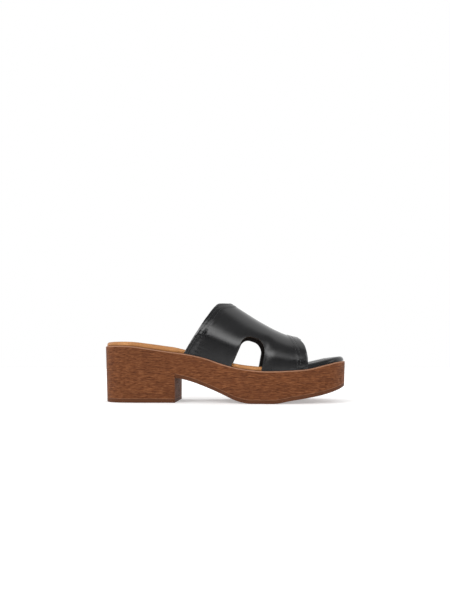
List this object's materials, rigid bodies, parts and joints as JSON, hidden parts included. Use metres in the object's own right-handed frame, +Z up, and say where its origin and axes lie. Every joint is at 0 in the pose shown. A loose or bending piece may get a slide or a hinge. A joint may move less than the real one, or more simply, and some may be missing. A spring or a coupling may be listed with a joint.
{
  "type": "open-toe platform mule",
  "caption": "Right-foot open-toe platform mule with a black leather band upper, side cut-outs, padded tan footbed and a wood-effect block-heel sole.",
  "frame": {"origin": "on the floor, under the middle of the shoe's length and width", "axes": "+X towards the toe, +Y towards the inner side of the foot, +Z up"},
  "size_m": [0.25, 0.088, 0.1036],
  "materials": {
    "wood_effect": "satin moulding with a reddish brown wood-grain effect",
    "tread_rubber": "matt brown rubber",
    "tan_leather": "soft tan lining leather, low sheen",
    "black_leather": "smooth black leather, half gloss with a fine grain"
  },
  "bodies": {
    "root": {"sole_unit": "wood_effect", "outsole": "tread_rubber", "heel_top_lift": "tread_rubber", "footbed": "tan_leather", "toe_binding": "black_leather", "upper": "black_leather"}
  },
  "joints": []
}
